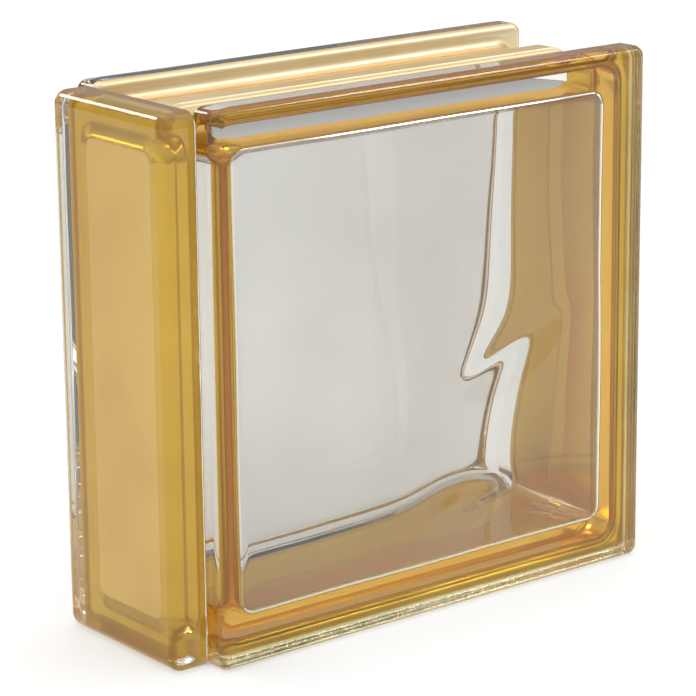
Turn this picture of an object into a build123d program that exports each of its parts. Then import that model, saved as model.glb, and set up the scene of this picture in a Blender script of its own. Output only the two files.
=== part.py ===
from build123d import *
import os
from math import atan2, cos, degrees, exp, pi, radians, sin

# Hollow pressed glass block with a bonded glass end plate. Sizes in millimetres.
# X runs along the block, Y from the front pane to the back pane, and Z up.

# The block: two square pressings fused rim to rim
block_length = 190.0
block_height = 190.0
block_depth = 80.0

# The fins: the rims of the two panes, which stand out past the side walls all round
fin_thickness = 13.0
fin_outer_edge_radius = 4.0
fin_inner_edge_radius = 2.8

# The side walls, which widen from the fins to the seam where the pressings meet
channel_depth = 8.0
wall_rise = 3.2
wall_corner_radius = 9.0
wall_root_radius = 4.0

# The rounded bead that the fusing leaves round the seam
bead_width = 8.5
bead_height = 1.0
bead_bevel = 1.2

# The sealed hollow, which also widens from the panes to the seam
pane_thickness = 6.5
wall_thickness = 8.2
hollow_draft = 3.2
hollow_corner_radius = 9.0
hollow_edge_radius = 3.0

# The gentle waves pressed into the inside of both panes, drawn through a square grid of points
wave_height = 0.9
wave_length_across = 82.0
wave_length_up = 98.0
wave_slant = 0.3
wave_points = 24
wave_fit = 0.2

# The sharper folds among the waves: place across and up from the pane's middle, turn in degrees,
# half width, half length, and rise into the hollow
folds = (
    (38.0, -5.0, 25.0, 12.0, 28.0, 2.8),
    (12.0, -60.0, 12.0, 11.0, 20.0, 2.2),
)

# The glass plate bonded across the left end, and the shallow panel pressed into its hidden face
plate_thickness = 13.5
plate_width = 66.0
plate_height = 189.0
plate_shift_back = 1.0
plate_outer_edge_radius = 5.0
plate_bond_edge_radius = 1.0
panel_width = 46.0
panel_end_margin = 9.7
panel_corner_radius = 8.5
panel_slope = 4.5
panel_depth = 2.5

# Places that follow from the sizes
overall_length = plate_thickness + block_length
block_left = plate_thickness - overall_length / 2
block_middle = block_left + block_length / 2
mid_height = block_height / 2
channel_width = block_depth - 2 * fin_thickness
seam_length = block_length - 2 * (channel_depth - wall_rise)
seam_height = block_height - 2 * (channel_depth - wall_rise)
hollow_length = block_length - 2 * (channel_depth + wall_thickness - hollow_draft)
hollow_height = block_height - 2 * (channel_depth + wall_thickness - hollow_draft)
hollow_reach = block_depth / 2 - pane_thickness


def across(y, side=1):
    """Sketch plane that stands across the block's thickness at y and faces the side's pane."""
    return Plane(origin=(block_middle, y, mid_height), x_dir=(1, 0, 0), z_dir=(0, side, 0))


def edges_at(shape, y):
    """The shape's edges that lie at the distance y from the block's middle plane."""
    return shape.edges().filter_by(lambda edge: abs(abs(edge.center().Y) - y) < 0.01)


def drafted(length, width, corner, draft, reach):
    """Rounded block on the XY plane whose sides lean in by the draft over its height, reach."""
    lean = degrees(atan2(reach, draft))
    foot = (Align.CENTER, Align.MIN)
    lengthwise = extrude(
        Plane.XZ * Trapezoid(length, reach, lean, align=foot), amount=width / 2 - corner, both=True
    )
    crosswise = extrude(
        Plane.YZ * Trapezoid(width, reach, lean, align=foot), amount=length / 2 - corner, both=True
    )
    rounding = Cone(corner, corner - draft, reach, align=(Align.CENTER, Align.CENTER, Align.MIN))
    corners = GridLocations(length - 2 * corner, width - 2 * corner, 2, 2) * rounding
    return lengthwise + crosswise + corners


def fin(side):
    """One pane's full square slab, whose rim is the fin, with both its edges rounded."""
    outline = Rectangle(block_length, block_height)
    slab = extrude(across(side * channel_width / 2, side) * outline, amount=fin_thickness)
    rounded = edges_at(slab, block_depth / 2) + slab.edges().filter_by(Axis.Y)
    slab = fillet(rounded, fin_outer_edge_radius)
    return fillet(edges_at(slab, channel_width / 2), fin_inner_edge_radius)


def walls(side):
    """One pressing's half of the four side walls, as a solid block."""
    return across(0, side) * drafted(
        seam_length, seam_height, wall_corner_radius, wall_rise, channel_width / 2
    )


def seam_bead():
    """The bead round the seam, as a slab whose rim stands just clear of the walls."""
    outline = RectangleRounded(
        seam_length + 2 * bead_height, seam_height + 2 * bead_height, wall_corner_radius + bead_height
    )
    slab = extrude(across(0) * outline, amount=bead_width / 2, both=True)
    return chamfer(edges_at(slab, bead_width / 2), bead_bevel)


def wave(sideways, up):
    """Height of the pressed waves and folds at a place on the pane, measured from its middle."""
    first = sin(2 * pi * (sideways / wave_length_across + wave_slant * up / wave_length_up))
    second = cos(2 * pi * (up / wave_length_up - wave_slant * sideways / wave_length_across))
    height = wave_height * (first + second) / 2
    for place_across, place_up, turn, half_width, half_length, rise in folds:
        beside, above = sideways - place_across, up - place_up
        over = (above * cos(radians(turn)) - beside * sin(radians(turn))) / half_width
        along = (beside * cos(radians(turn)) + above * sin(radians(turn))) / half_length
        height += rise * exp(-over * over - along * along)
    return height


def wavy_filler(side):
    """The glass that fills one end of the hollow as far as the waves of that pane."""
    spread = 1.05
    rows = []
    for row in range(wave_points):
        up = spread * hollow_height * (row / (wave_points - 1) - 0.5)
        points = []
        for column in range(wave_points):
            sideways = spread * hollow_length * (column / (wave_points - 1) - 0.5)
            inward = hollow_reach - wave_height - wave(-side * sideways, up)
            points.append(Vector(block_middle + sideways, side * inward, mid_height + up))
        rows.append(points)
    skin = Face.make_surface_from_array_of_points(rows, tol=wave_fit)
    return Solid.extrude(skin, Vector(0, side * pane_thickness, 0))


def hollow_half(side):
    """One pressing's half of the sealed hollow, closed by the wavy inside of its pane."""
    half = across(0, side) * drafted(
        hollow_length, hollow_height, hollow_corner_radius, hollow_draft, hollow_reach
    )
    half = fillet(edges_at(half, hollow_reach), hollow_edge_radius)
    return half - wavy_filler(side)


def glass_body():
    """The block itself: the two pressings fused into one hollow piece of glass."""
    body = fin(-1) + fin(1) + walls(-1) + walls(1)
    roots = edges_at(body, channel_width / 2).filter_by(
        lambda edge: abs(edge.center().X - block_middle) < seam_length / 2
        and abs(edge.center().Z - mid_height) < seam_height / 2
    )
    body = fillet(roots, wall_root_radius)
    return body + seam_bead() - hollow_half(-1) - hollow_half(1)


def end_plate():
    """The clear glass plate bonded to the left ends of the fins, with its hidden pressed panel."""
    bonded_face = Plane(
        origin=(block_left, plate_shift_back, plate_height / 2), x_dir=(0, 0, 1), z_dir=(-1, 0, 0)
    )
    slab = extrude(bonded_face * Rectangle(plate_height, plate_width), amount=plate_thickness)
    rounded = slab.edges().group_by(Axis.X)[0] + slab.edges().filter_by(Axis.X)
    slab = fillet(rounded, plate_outer_edge_radius)
    slab = fillet(slab.edges().group_by(Axis.X)[-1], plate_bond_edge_radius)
    panel_length = plate_height - 2 * panel_end_margin
    panel = drafted(panel_length, panel_width, panel_corner_radius, panel_slope, panel_depth)
    return slab - bonded_face * panel


os.makedirs("parts", exist_ok=True)
for name, piece in (("glass_body", glass_body()), ("end_plate", end_plate())):
    solid = piece.solids()[0]
    print(name, len(piece.solids()), round(solid.volume), solid.bounding_box())
    export_step(solid, f"parts/{name}.step")
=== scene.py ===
from math import atan, cos, exp, hypot, pi, radians, sin
import bmesh
import bpy
from mathutils import Matrix, Vector


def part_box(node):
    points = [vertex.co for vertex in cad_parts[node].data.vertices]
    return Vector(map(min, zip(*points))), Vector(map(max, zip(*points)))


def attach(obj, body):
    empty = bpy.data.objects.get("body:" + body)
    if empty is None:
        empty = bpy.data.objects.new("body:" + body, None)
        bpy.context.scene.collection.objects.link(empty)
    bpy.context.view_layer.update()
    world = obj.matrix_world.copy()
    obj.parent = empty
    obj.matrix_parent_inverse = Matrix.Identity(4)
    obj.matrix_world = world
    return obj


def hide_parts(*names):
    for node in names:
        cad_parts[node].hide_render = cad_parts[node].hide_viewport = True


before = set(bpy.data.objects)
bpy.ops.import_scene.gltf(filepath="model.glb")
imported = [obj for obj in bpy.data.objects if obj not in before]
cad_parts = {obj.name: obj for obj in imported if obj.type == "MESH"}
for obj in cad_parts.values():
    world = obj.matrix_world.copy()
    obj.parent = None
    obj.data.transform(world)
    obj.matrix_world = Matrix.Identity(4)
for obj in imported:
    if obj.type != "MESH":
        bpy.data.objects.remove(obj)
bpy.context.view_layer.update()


# The block's outer skin. Two square glass pressings are fused rim to rim: each has a thick pane whose
# rim stands out as a fin, and side walls that widen to the seam, where the fusing leaves a rounded bead.
millimetre = 0.001
block_low, block_high = (Vector(corner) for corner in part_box("glass_body"))
block_middle = (block_low + block_high) / 2
block_half = (block_high - block_low) / 2
fin_thickness = 13.0 * millimetre
fin_outer_radius = 4.0 * millimetre
fin_inner_radius = 2.8 * millimetre
channel_depth = 8.0 * millimetre
channel_half = block_half.y - fin_thickness
wall_rise = 3.2 * millimetre
wall_corner_radius = 9.0 * millimetre
wall_root_radius = 4.0 * millimetre
bead_inset = 3.8 * millimetre
bead_half_width = 4.25 * millimetre
bead_edge_width = 1.2 * millimetre
corner_steps = 10
arc_steps = 8
sharp_corner = 0.02 * millimetre
merge_distance = 0.01 * millimetre


def first_loop(mesh, half_across, half_up, corner, place, side_cuts):
    """Adds a round-cornered rectangular loop of edges on the XY plane of place, and returns its edges."""
    size = Matrix.Diagonal((half_across, half_up, 1, 1))
    grid = bmesh.ops.create_grid(mesh, x_segments=1, y_segments=1, size=1, matrix=place @ size)
    rounded = bmesh.ops.bevel(
        mesh, geom=grid["verts"], offset=corner, segments=corner_steps,
        profile=0.5, affect="VERTICES", material=-1,
    )
    face = rounded["verts"][0].link_faces[0]
    if side_cuts:
        longest = sorted(face.edges, key=lambda edge: edge.calc_length())[-4:]
        bmesh.ops.subdivide_edges(mesh, edges=longest, cuts=side_cuts)
    edges = list(face.edges)
    bmesh.ops.delete(mesh, geom=[face], context="FACES_ONLY")
    return edges


def redrawn(value, half, corner, new_half, new_corner):
    """Where a coordinate of one round-cornered loop goes on the next loop."""
    straight = half - corner
    beyond = max(abs(value) - straight, 0)
    reach = min(abs(value), straight) * (new_half - new_corner) / straight + beyond * new_corner / corner
    return reach if value > 0 else -reach


def skin(mesh, profile, place, side_cuts=0):
    """Extrudes a round-cornered loop through a profile of (half_across, half_up, corner, height, finish)."""
    upright = place.inverted()
    edges = []
    for half_across, half_up, corner, height, finish in profile:
        corner = max(corner, sharp_corner)
        if not edges:
            edges = first_loop(
                mesh, half_across, half_up, corner, place @ Matrix.Translation((0, 0, height)), side_cuts
            )
        else:
            grown = bmesh.ops.extrude_edge_only(mesh, edges=edges)["geom"]
            verts = {item for item in grown if isinstance(item, bmesh.types.BMVert)}
            edges = [
                item for item in grown
                if isinstance(item, bmesh.types.BMEdge) and set(item.verts) <= verts
            ]
            for vertex in verts:
                spot = upright @ vertex.co
                spot.x = redrawn(spot.x, last_across, last_corner, half_across, corner)
                spot.y = redrawn(spot.y, last_up, last_corner, half_up, corner)
                spot.z = height
                vertex.co = place @ spot
            for item in grown:
                if isinstance(item, bmesh.types.BMFace):
                    item.material_index = finish
        last_across = half_across
        last_up = half_up
        last_corner = corner
    return edges


def close(mesh, loop):
    """Fills a loop with one flat face."""
    bmesh.ops.contextual_create(mesh, geom=loop)


def finished(mesh, name):
    """Turns the bmesh into a smooth object at the origin, which keeps its flat faces flat."""
    data = bpy.data.meshes.new(name)
    for face in mesh.faces:
        face.smooth = True
    mesh.to_mesh(data)
    mesh.free()
    piece = bpy.data.objects.new(name, data)
    bpy.context.scene.collection.objects.link(piece)
    piece.modifiers.new("flat_faces", "WEIGHTED_NORMAL").keep_sharp = True
    return piece


def wall_inset(depth):
    """How far the side wall lies inside the block's outline at a distance from the seam."""
    return channel_depth - wall_rise * (1 - depth / channel_half)


def block_loop(inset, corner, height, finish):
    """One loop of the block's skin, drawn in from its square outline."""
    return (block_half.x - inset, block_half.z - inset, corner, height, finish)


# The places of the block's finishes among its material slots. The ribbed and speckled finishes carry a
# painted sheen, the pane side a painted shade, and the wall finish painted light.
clear = 0
coated = 1
ribbed_sheen = 2
shaded_pane_side = 3
lit_wall = 4
speckled_sheen = 5

wall_slope = wall_rise / channel_half
wall_angle = atan(wall_slope)
wall_centre_inset = channel_depth - wall_rise + wall_corner_radius
block_profile = [block_loop(bead_inset, wall_centre_inset - bead_inset, 0, lit_wall)]
for step in range(arc_steps + 1):
    share = step / arc_steps
    height = bead_half_width + bead_edge_width * (share - 0.5)
    blend = (1 + cos(pi * share)) / 2
    inset = wall_inset(height) * (1 - blend) + bead_inset * blend
    block_profile.append(block_loop(inset, wall_centre_inset - inset, height, lit_wall))
root_inset = channel_depth - wall_slope * wall_root_radius - wall_root_radius / cos(wall_angle)
for step in range(arc_steps + 1):
    turn = (pi / 2 + wall_angle) * (1 - step / arc_steps)
    inset = root_inset + wall_root_radius * sin(turn)
    height = channel_half - wall_root_radius * (1 - cos(turn))
    block_profile.append(block_loop(inset, wall_centre_inset - inset, height, coated if step else lit_wall))
for step in range(arc_steps + 1):
    turn = pi / 2 * (1 - step / arc_steps)
    inset = fin_inner_radius * (1 - cos(turn))
    height = channel_half + fin_inner_radius * (1 - sin(turn))
    block_profile.append(block_loop(inset, fin_outer_radius - inset, height, ribbed_sheen if step else coated))
for step in range(arc_steps + 1):
    turn = pi / 2 * (1 - step / arc_steps)
    inset = fin_outer_radius * (1 - sin(turn))
    height = block_half.y - fin_outer_radius * (1 - cos(turn))
    block_profile.append(block_loop(inset, fin_outer_radius * sin(turn), height, clear))

outer = bmesh.new()
for side in (-1, 1):
    across = Matrix.Translation(block_middle) @ Matrix.Rotation(-side * pi / 2, 4, "X")
    close(outer, skin(outer, block_profile, across))
bmesh.ops.remove_doubles(outer, verts=outer.verts, dist=merge_distance)
bmesh.ops.recalc_face_normals(outer, faces=outer.faces)
# The ribbed coat, whose pale colour is a painted sheen, stays on the low inner edges of the fins, and the
# right-hand ones are speckled with a fainter painted sheen
for face in outer.faces:
    place = face.calc_center_median() - block_middle
    low = place.z < channel_depth - block_half.z
    at_right = place.x > block_half.x - channel_depth
    if face.material_index == ribbed_sheen and not low:
        face.material_index = speckled_sheen if at_right else coated


# The sealed hollow inside the block, whose walls widen to the seam as well. The insides of both panes
# are pressed in soft waves and two sharper folds, and a small radius joins them to the walls. The wall
# is thinner at the end by the plate, and at the top of each pane.
pane_thickness = 6.5 * millimetre
wall_thickness = 8.2 * millimetre
end_wall_thickness = 2.5 * millimetre
top_wall_thickness = 5.9 * millimetre
hollow_reach = block_half.y - pane_thickness
hollow_draft = 3.2 * millimetre
hollow_corner_radius = 9.0 * millimetre
hollow_edge_radius = 3.0 * millimetre
hollow_inset = channel_depth + wall_thickness - hollow_draft
wave_height = 0.9 * millimetre
wave_length_across = 82.0 * millimetre
wave_length_up = 98.0 * millimetre
wave_slant = 0.3
# The folds, in millimetres and degrees: place across and up from the pane's middle, turn, half width,
# half length and rise
folds = (
    (38.0, -5.0, 25.0, 12.0, 28.0, 3.4),
    (12.0, -60.0, 12.0, 11.0, 20.0, 2.4),
)
crest_roundness = 0.2
bend_start = hollow_reach - 3 * hollow_edge_radius
bend_length = 2 * hollow_edge_radius
hollow_side_cuts = 71
wave_step = 2.0 * millimetre
least_pane_facing = 0.7


def wave(sideways, up):
    """Height of the pressed waves and folds at a place on the pane, measured from its middle."""
    first = sin(2 * pi * (sideways / wave_length_across + wave_slant * up / wave_length_up))
    second = cos(2 * pi * (up / wave_length_up - wave_slant * sideways / wave_length_across))
    height = wave_height * (first + second) / 2
    for fold_across, fold_up, turn, half_width, half_length, rise in folds:
        beside = sideways / millimetre - fold_across
        above = up / millimetre - fold_up
        over = (above * cos(radians(turn)) - beside * sin(radians(turn))) / half_width
        along = (beside * cos(radians(turn)) + above * sin(radians(turn))) / half_length
        height += rise * millimetre * exp(-hypot(over, crest_roundness) - along * along)
    return height


hollow_profile = [
    block_loop(hollow_inset, hollow_corner_radius, 0, clear),
    block_loop(hollow_inset + hollow_draft, hollow_corner_radius - hollow_draft,
               hollow_reach - hollow_edge_radius, clear),
]
for step in range(1, arc_steps + 1):
    turn = pi / 2 * step / arc_steps
    drawn_in = hollow_edge_radius * (1 - cos(turn))
    corner = hollow_corner_radius - hollow_draft - drawn_in
    height = hollow_reach - hollow_edge_radius * (1 - sin(turn))
    hollow_profile.append(block_loop(hollow_inset + hollow_draft + drawn_in, corner, height, clear))
pane_half = block_half.x - hollow_inset - hollow_draft - hollow_edge_radius
pane_corner = hollow_corner_radius - hollow_draft - hollow_edge_radius
wave_rows = int(pane_half / wave_step)
for row in range(1, wave_rows):
    share = 1 - row / wave_rows
    inset = block_half.x - pane_half * share
    hollow_profile.append(block_loop(inset, pane_corner * share, hollow_reach, clear))

inner = bmesh.new()
for side in (-1, 1):
    across = Matrix.Translation(block_middle) @ Matrix.Rotation(-side * pi / 2, 4, "X")
    close(inner, skin(inner, hollow_profile, across, hollow_side_cuts))
end_stretch = (wall_thickness - end_wall_thickness) / (block_half.x - hollow_inset)
top_stretch = (wall_thickness - top_wall_thickness) / (block_half.z - hollow_inset)
for vertex in inner.verts:
    vertex.co.x += min(vertex.co.x - block_middle.x, 0) * end_stretch
    towards_pane = abs(vertex.co.y - block_middle.y) / hollow_reach
    vertex.co.z += max(vertex.co.z - block_middle.z, 0) * top_stretch * towards_pane
    place = vertex.co - block_middle
    side = 1 if place.y > 0 else -1
    bend = min(max((abs(place.y) - bend_start) / bend_length, 0), 1)
    vertex.co.y -= side * bend * (wave_height + wave(-side * place.x, place.z))
bmesh.ops.remove_doubles(inner, verts=inner.verts, dist=merge_distance)
bmesh.ops.recalc_face_normals(inner, faces=inner.faces)
bmesh.ops.reverse_faces(inner, faces=inner.faces)
for face in inner.faces:
    face.material_index = shaded_pane_side if abs(face.normal.y) > least_pane_facing else clear
inner_mesh = bpy.data.meshes.new("hollow")
inner.to_mesh(inner_mesh)
inner.free()
outer.from_mesh(inner_mesh)
bpy.data.meshes.remove(inner_mesh)
glass_block = finished(outer, "pressed_glass_block")


# The block's finishes. The clear soda glass is smoothed by flame after pressing, and the insides of the
# panes carry a grey tint that is painted shade, darkening the view through the window. A gold metal coat
# some micrometres thick covers the channel floors and the inner faces of the fins, and it is rougher on its
# air side. Its lighter copies are painted light on the walls and a painted sheen on the fins' low and
# right-hand inner edges.
ripples_per_metre = 34.0
ripple_strength = 0.12
ripple_depth = 0.4 * millimetre
smears_per_metre = 11.0
smear_roughness = 0.012
glass_refraction = 1.52
glass_shadow = (0.9, 0.92, 0.9, 1.0)
clouds_per_metre = 22.0
soft_grain = 9.0 * millimetre
soft_grain_depth = 0.06 * millimetre
fine_grain = 0.9 * millimetre
coat_gloss_tint = (0.85, 0.63, 0.28, 1.0)
air_gold_dark = (0.75, 0.59, 0.35, 1.0)
air_gold_light = (0.82, 0.69, 0.46, 1.0)
air_roughness = 0.29
glass_side_smoothing = 0.2
cloud_roughness = 0.12


class Signal:
    """One output of a node, which Python's arithmetic takes on through Math nodes."""

    def __init__(self, recipe, socket):
        self.recipe = recipe
        self.socket = socket

    def maths(self, operation, first, second):
        return self.recipe.add("Math", {"operation": operation}, {0: first, 1: second})["Value"]

    def __add__(self, other):
        return self.maths("ADD", self, other)

    def __sub__(self, other):
        return self.maths("SUBTRACT", self, other)

    def __rsub__(self, other):
        return self.maths("SUBTRACT", other, self)

    def __mul__(self, other):
        return self.maths("MULTIPLY", self, other)

    def up_to(self, limit):
        return self.maths("MINIMUM", self, limit)

    def at_least(self, limit):
        return self.maths("MAXIMUM", self, limit)

    __radd__ = __add__
    __rmul__ = __mul__


class Recipe:
    """The nodes of one material or of the world."""

    def __init__(self, owner):
        owner.use_nodes = True
        self.tree = owner.node_tree
        self.tree.nodes.clear()

    def add(self, kind, settings=None, sockets=None):
        """Adds a node with its settings, then its sockets' values or links, and returns its outputs."""
        node = self.tree.nodes.new("ShaderNode" + kind)
        for name, value in (settings or {}).items():
            if name == "stops":
                for element, stop in zip(node.color_ramp.elements, value):
                    element.position, element.color = stop
            else:
                setattr(node, name, value)
        for name, value in (sockets or {}).items():
            socket = next((item for item in node.inputs if item.identifier == name), None)
            socket = socket or node.inputs[name]
            if isinstance(value, Signal):
                self.tree.links.new(value.socket, socket)
            else:
                socket.default_value = value
        return {socket.identifier: Signal(self, socket) for socket in node.outputs}


def clear_glass(name, dark_tint_and_shade, light_tint_and_shade):
    """Clear soda glass: faintly rippled by fire-polishing, with a trace of smears in its gloss."""
    material = bpy.data.materials.new(name)
    recipe = Recipe(material)
    place = recipe.add("TexCoord")["Object"]
    ripple = recipe.add("TexNoise", {}, {"Vector": place, "Scale": ripples_per_metre, "Detail": 1.0})["Fac"]
    smear = recipe.add("TexNoise", {}, {"Vector": place, "Scale": smears_per_metre, "Detail": 4.0})["Fac"]
    tints_and_shade = ((0.35, dark_tint_and_shade), (0.65, light_tint_and_shade))
    tint_and_shade = recipe.add("ValToRGB", {"stops": tints_and_shade}, {"Fac": smear})["Color"]
    normal = recipe.add("Bump", {}, {
        "Height": ripple, "Strength": ripple_strength, "Distance": ripple_depth,
    })["Normal"]
    surface = recipe.add("BsdfPrincipled", {}, {
        "Base Color": tint_and_shade,
        "Transmission Weight": 1.0,
        "IOR": glass_refraction,
        "Roughness": smear * smear_roughness,
        "Normal": normal,
    })["BSDF"]
    unseen = recipe.add("BsdfTransparent", {}, {"Color": glass_shadow})["BSDF"]
    shadow = recipe.add("LightPath")["Is Shadow Ray"]
    mixed = recipe.add("MixShader", {}, {0: shadow, 1: surface, 2: unseen})["Shader"]
    recipe.add("OutputMaterial", {}, {"Surface": mixed})
    return material


def gold_coat(name, dark_amber_with_painted_light, light_amber_with_painted_light, metal=0.7, grain_size=soft_grain, grain_depth=soft_grain_depth):
    """The thin gold-amber metal coat: pale gold to the air, and a deeper amber seen through the glass, which
    the lighter copies raise as painted light and painted sheen.
    """
    material = bpy.data.materials.new(name)
    recipe = Recipe(material)
    place = recipe.add("TexCoord")["Object"]
    cloud = recipe.add("TexNoise", {}, {"Vector": place, "Scale": clouds_per_metre, "Detail": 3.0})["Fac"]
    grain = recipe.add("TexNoise", {}, {"Vector": place, "Scale": 1 / grain_size, "Detail": 1.0})["Fac"]
    through_glass = recipe.add("ValToRGB", {"stops": (
        (0.3, dark_amber_with_painted_light),
        (0.7, light_amber_with_painted_light),
    )}, {"Fac": cloud})["Color"]
    in_the_air = recipe.add("ValToRGB", {"stops": (
        (0.3, air_gold_dark),
        (0.7, air_gold_light),
    )}, {"Fac": cloud})["Color"]
    seen_through = recipe.add("NewGeometry")["Backfacing"]
    colour = recipe.add("Mix", {"data_type": "RGBA"}, {
        "Factor_Float": seen_through, "A_Color": in_the_air, "B_Color": through_glass,
    })["Result_Color"]
    normal = recipe.add("Bump", {}, {"Height": grain, "Strength": 0.5, "Distance": grain_depth})["Normal"]
    surface = recipe.add("BsdfPrincipled", {}, {
        "Base Color": colour,
        "Metallic": metal,
        "Specular Tint": coat_gloss_tint,
        "Roughness": air_roughness + cloud * cloud_roughness - seen_through * glass_side_smoothing,
        "Normal": normal,
    })["BSDF"]
    recipe.add("OutputMaterial", {}, {"Surface": surface})
    return material


pressed_glass = clear_glass("pressed_glass", (0.86, 0.86, 0.83, 1.0), (0.90, 0.90, 0.87, 1.0))
# The panes' insides get a darker grey tint: painted shade for the dim view through the window.
painted_shade_pane_glass = clear_glass("painted_shade_pane_glass", (0.575, 0.56, 0.535, 1.0), (0.685, 0.67, 0.645, 1.0))
coat = gold_coat("gold_coat", (0.60, 0.33, 0.005, 1.0), (0.75, 0.45, 0.03, 1.0))
# The walls' coat is a lighter copy of the same coat: painted light.
lit_wall_coat = gold_coat("lit_wall_gold_coat", (0.98, 0.55, 0.01, 1.0), (1.0, 0.63, 0.05, 1.0), metal=0.6)
# The low inner edges' coat is a paler copy with real fine ribs; its paleness is a painted sheen.
ribbed_sheen_coat = gold_coat(
    "ribbed_sheen_gold_coat", (0.93, 0.82, 0.45, 1.0), (1.0, 0.92, 0.62, 1.0), metal=0.9,
    grain_size=fine_grain, grain_depth=0.3 * millimetre,
)
# The right-hand inner edges' coat is a less pale copy with real speckle; its paleness is a faint painted
# sheen.
speckled_sheen_coat = gold_coat(
    "speckled_sheen_gold_coat", (0.62, 0.44, 0.10, 1.0), (0.84, 0.66, 0.25, 1.0),
    grain_size=fine_grain, grain_depth=0.15 * millimetre,
)
for finish in (pressed_glass, coat, ribbed_sheen_coat, painted_shade_pane_glass, lit_wall_coat, speckled_sheen_coat):
    glass_block.data.materials.append(finish)
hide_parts("glass_body")
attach(glass_block, "root")


# The end plate: a thick clear glass plate with soft edges, bonded to the left ends of the fins by a
# clear film. A shallow panel is pressed into its hidden face, which has a gold coat like the block's, made
# lighter on the panel as painted light.
plate_low, plate_high = (Vector(corner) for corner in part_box("end_plate"))
plate_half_width = (plate_high.y - plate_low.y) / 2
plate_half_height = (plate_high.z - plate_low.z) / 2
bonded_x = block_low.x
plate_thickness = bonded_x - plate_low.x
plate_outer_radius = 5.0 * millimetre
plate_bond_radius = 1.0 * millimetre
bond_film = 0.05 * millimetre
panel_half_width = 23.0 * millimetre
panel_end_margin = 9.7 * millimetre
panel_corner_radius = 8.5 * millimetre
panel_slope = 4.5 * millimetre
panel_depth = 2.5 * millimetre
panel_edge_width = 0.7 * millimetre
least_rim_angle = radians(20)
coat_half_width = 30.0 * millimetre
coat_corner_radius = 1.0 * millimetre
coat_end_margin = 1.1 * millimetre
lit_panel = 2


def plate_loop(inset, corner, depth, finish):
    """One loop of the plate's skin, drawn in from its outline, at a depth behind its outer face."""
    return (plate_half_width - inset, plate_half_height - inset, corner, depth, finish)


bond_depth = plate_thickness - bond_film
panel_half_height = plate_half_height - panel_end_margin
plate_profile = [
    (panel_half_width - panel_slope, panel_half_height - panel_slope,
     panel_corner_radius - panel_slope, bond_depth - panel_depth, coated),
    (panel_half_width, panel_half_height, panel_corner_radius, bond_depth, coated),
    (coat_half_width, plate_half_height - coat_end_margin, coat_corner_radius, bond_depth, coated),
]
for step in range(arc_steps + 1):
    turn = pi / 2 * (1 - step / arc_steps)
    inset = plate_bond_radius * (1 - cos(turn))
    depth = bond_depth - plate_bond_radius * (1 - sin(turn))
    plate_profile.append(plate_loop(inset, plate_outer_radius - inset, depth, clear))
for step in range(arc_steps + 1):
    turn = pi / 2 * (1 - step / arc_steps)
    inset = plate_outer_radius * (1 - sin(turn))
    depth = plate_outer_radius * (1 - cos(turn))
    plate_profile.append(plate_loop(inset, plate_outer_radius * sin(turn), depth, clear))

plate = bmesh.new()
plate_place = Vector((plate_low.x, (plate_low.y + plate_high.y) / 2, plate_half_height))
facing = Matrix.Translation(plate_place) @ Matrix.Rotation(pi / 2, 4, "Y") @ Matrix.Rotation(pi / 2, 4, "Z")
close(plate, skin(plate, plate_profile, facing))
close(plate, [edge for edge in plate.edges if edge.is_boundary])
panel_x = bonded_x - bond_film - panel_depth
for face in plate.faces:
    if all(abs(vertex.co.x - panel_x) < merge_distance for vertex in face.verts):
        face.material_index = lit_panel
bmesh.ops.remove_doubles(plate, verts=plate.verts, dist=merge_distance)
bmesh.ops.recalc_face_normals(plate, faces=plate.faces)
panel_reach = panel_half_width + panel_edge_width
panel_rims = [
    edge for edge in plate.edges
    if edge.calc_face_angle() > least_rim_angle
    and all(abs(vertex.co.y - plate_place.y) < panel_reach for vertex in edge.verts)
    and all(vertex.co.x > panel_x - panel_edge_width for vertex in edge.verts)
]
bmesh.ops.bevel(
    plate, geom=panel_rims, offset=panel_edge_width, segments=3, profile=0.5, affect="EDGES", material=-1
)
end_plate = finished(plate, "bonded_end_plate")
plate_glass = clear_glass("plate_glass", (0.85, 0.86, 0.84, 1.0), (0.88, 0.89, 0.87, 1.0))
margin_coat = gold_coat("margin_gold_coat", (0.58, 0.33, 0.01, 1.0), (0.70, 0.43, 0.03, 1.0), metal=0.6)
# The panel's coat is a lighter copy of the plate's coat: painted light.
lit_panel_coat = gold_coat("lit_panel_gold_coat", (0.72, 0.43, 0.08, 1.0), (0.84, 0.55, 0.13, 1.0), metal=0.5)
for finish in (plate_glass, margin_coat, lit_panel_coat):
    end_plate.data.materials.append(finish)
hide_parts("end_plate")
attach(end_plate, "root")


# The white floor that the block stands on. It keeps the block's soft shadow, and is lifted to white
# only where the camera, a reflection or the glass looks at it.
floor_half_size = 3.0
floor_colour = (0.8, 0.8, 0.8, 1.0)
white = (1.0, 1.0, 1.0, 1.0)
floor_lift = 0.30
floor_mesh = bmesh.new()
bmesh.ops.create_grid(floor_mesh, x_segments=1, y_segments=1, size=floor_half_size)
floor_data = bpy.data.meshes.new("floor")
floor_mesh.to_mesh(floor_data)
floor_mesh.free()
floor = bpy.data.objects.new("floor", floor_data)
bpy.context.scene.collection.objects.link(floor)
floor_material = bpy.data.materials.new("white_floor")
floor_recipe = Recipe(floor_material)
floor_paint = floor_recipe.add("BsdfDiffuse", {}, {"Color": floor_colour})["BSDF"]
floor_ray = floor_recipe.add("LightPath")
floor_seen = floor_ray["Is Camera Ray"] + floor_ray["Is Glossy Ray"] + floor_ray["Is Transmission Ray"]
floor_glow = floor_recipe.add("Emission", {}, {
    "Color": white, "Strength": floor_seen.up_to(1.0) * floor_lift,
})
floor_sum = floor_recipe.add("AddShader", {}, {0: floor_paint, 1: floor_glow["Emission"]})["Shader"]
floor_recipe.add("OutputMaterial", {}, {"Surface": floor_sum})
floor_data.materials.append(floor_material)


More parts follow.
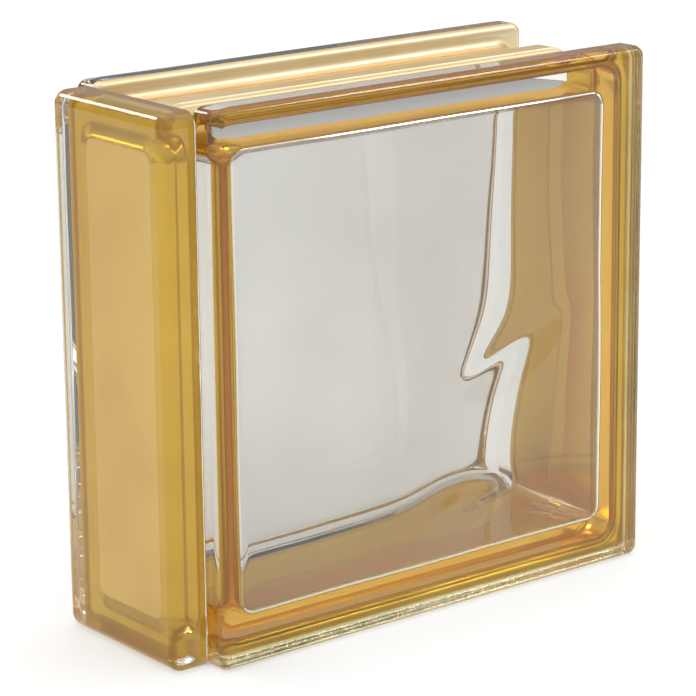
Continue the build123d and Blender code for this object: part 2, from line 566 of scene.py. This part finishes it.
# The studio: a white surround that is brightest overhead, a large soft lamp above and two upright ones
# at the sides, whose reflections draw the rounded edges of the glass. Two small lamps, which light no
# dull surface, put the bright lines on the top edges.
horizon_light = 0.30
overhead_light = 0.90
gloss_lamp_width = 0.24
gloss_lamp_power = 1.6
world = bpy.data.worlds.new("studio")
bpy.context.scene.world = world
sky = Recipe(world)
sky_height = sky.add("SeparateXYZ", {}, {"Vector": sky.add("TexCoord")["Generated"]})["Z"]
sky_strength = horizon_light + overhead_light * sky_height.at_least(0.0)
sky_light = sky.add("Background", {}, {"Color": white, "Strength": sky_strength})["Background"]
sky.add("OutputWorld", {}, {"Surface": sky_light})


def soft_lamp(name, place, target, width, height, power):
    """A rectangular soft lamp that faces a target."""
    data = bpy.data.lights.new(name, "AREA")
    data.shape = "RECTANGLE"
    data.size = width
    data.size_y = height
    data.energy = power
    lamp = bpy.data.objects.new(name, data)
    bpy.context.scene.collection.objects.link(lamp)
    lamp.matrix_world = Matrix.Translation(place) @ (
        (Vector(place) - Vector(target)).to_track_quat("Z", "Y").to_matrix().to_4x4()
    )
    return lamp


soft_lamp("overhead", (0.0, 0.1, 1.2), block_middle, 1.2, 0.8, 2.0)
soft_lamp("left_side", (-1.1, -0.35, 0.45), block_middle, 0.5, 1.0, 1.0)
soft_lamp("right_side", (1.1, -0.5, 0.5), block_middle, 0.4, 1.0, 1.5)
for name, place in (("front_gloss", (0.71, -0.32, 1.0)), ("back_gloss", (-0.32, 0.91, 0.8))):
    gloss_lamp = soft_lamp(
        name, place, block_middle, gloss_lamp_width, gloss_lamp_width, gloss_lamp_power
    )
    gloss_lamp.visible_diffuse = False


# The camera, solved from the outline of the block in the photograph. A long lens stands for its flat
# perspective.
camera_data = bpy.data.cameras.new("camera")
camera_data.lens = 155.16
camera_data.sensor_width = 36.0
camera_data.clip_end = 20.0
camera = bpy.data.objects.new("camera", camera_data)
bpy.context.scene.collection.objects.link(camera)
camera_turn = radians(38.10)
camera_tilt = radians(15.32)
camera_roll = radians(-0.59)
camera_offset = Vector((-7.61, -7.20, 1058.92)) * millimetre
aim = Matrix.Rotation(-camera_turn, 4, "Z") @ Matrix.Rotation(pi / 2 - camera_tilt, 4, "X")
aim = aim @ Matrix.Rotation(camera_roll, 4, "Z")
camera.matrix_world = Matrix.Translation(block_middle) @ aim @ Matrix.Translation(camera_offset)
bpy.context.scene.camera = camera

scene = bpy.context.scene
scene.view_settings.view_transform = "Standard"
scene.cycles.max_bounces = 24
scene.cycles.transmission_bounces = 24
scene.cycles.glossy_bounces = 12
